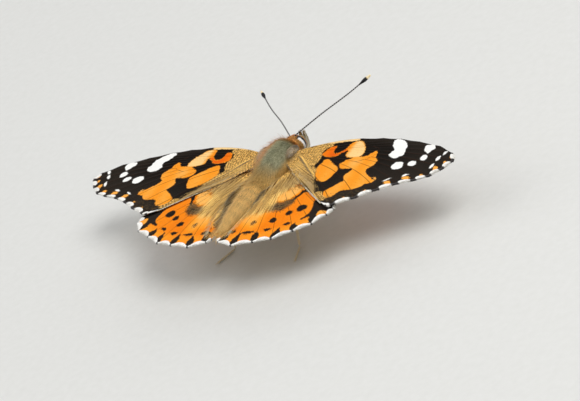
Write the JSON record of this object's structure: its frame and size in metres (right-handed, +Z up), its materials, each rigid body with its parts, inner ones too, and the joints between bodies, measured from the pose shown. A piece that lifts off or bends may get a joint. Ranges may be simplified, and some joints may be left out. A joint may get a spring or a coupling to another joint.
{
  "type": "painted lady butterfly",
  "caption": "Life-size still butterfly standing with its orange, black and white wings held open and flat, body furred, antennae spread.",
  "frame": {"origin": "on the floor under the middle of the butterfly's bounding box", "axes": "+X to the butterfly's right wing tip, +Y towards its head, +Z up"},
  "size_m": [0.0656, 0.0322, 0.0116],
  "materials": {
    "thorax_fur": "dense grey-green and tan hair over a dark body",
    "abdomen_fur": "tan hair and scales, darker between the rings",
    "head_fur": "short orange-brown hair with pale edges",
    "eye": "smooth, fine-faceted, olive brown",
    "antenna": "black with fine pale rings and a cream tip",
    "leg_scales": "pale tan scales",
    "tongue": "dark brown, smooth",
    "wing_scales": "matt scales, orange with black patches and white spots, white fringe"
  },
  "bodies": {
    "root": {"thorax": "thorax_fur", "abdomen": "abdomen_fur", "head": "head_fur", "eye_left": "eye", "eye_right": "eye", "palp_left": "head_fur", "palp_right": "head_fur", "antenna_left": "antenna", "antenna_right": "antenna", "antenna_club_left": "antenna", "antenna_club_right": "antenna", "middle_femur_left": "leg_scales", "middle_femur_right": "leg_scales", "middle_tibia_left": "leg_scales", "middle_tibia_right": "leg_scales", "middle_tarsus_left": "leg_scales", "middle_tarsus_right": "leg_scales", "hind_femur_left": "leg_scales", "hind_femur_right": "leg_scales", "hind_tibia_left": "leg_scales", "hind_tibia_right": "leg_scales", "hind_tarsus_left": "leg_scales", "hind_tarsus_right": "leg_scales", "foreleg_left": "leg_scales", "foreleg_right": "leg_scales", "proboscis": "tongue", "forewing_left": "wing_scales", "forewing_right": "wing_scales", "hindwing_left": "wing_scales", "hindwing_right": "wing_scales"}
  },
  "joints": []
}
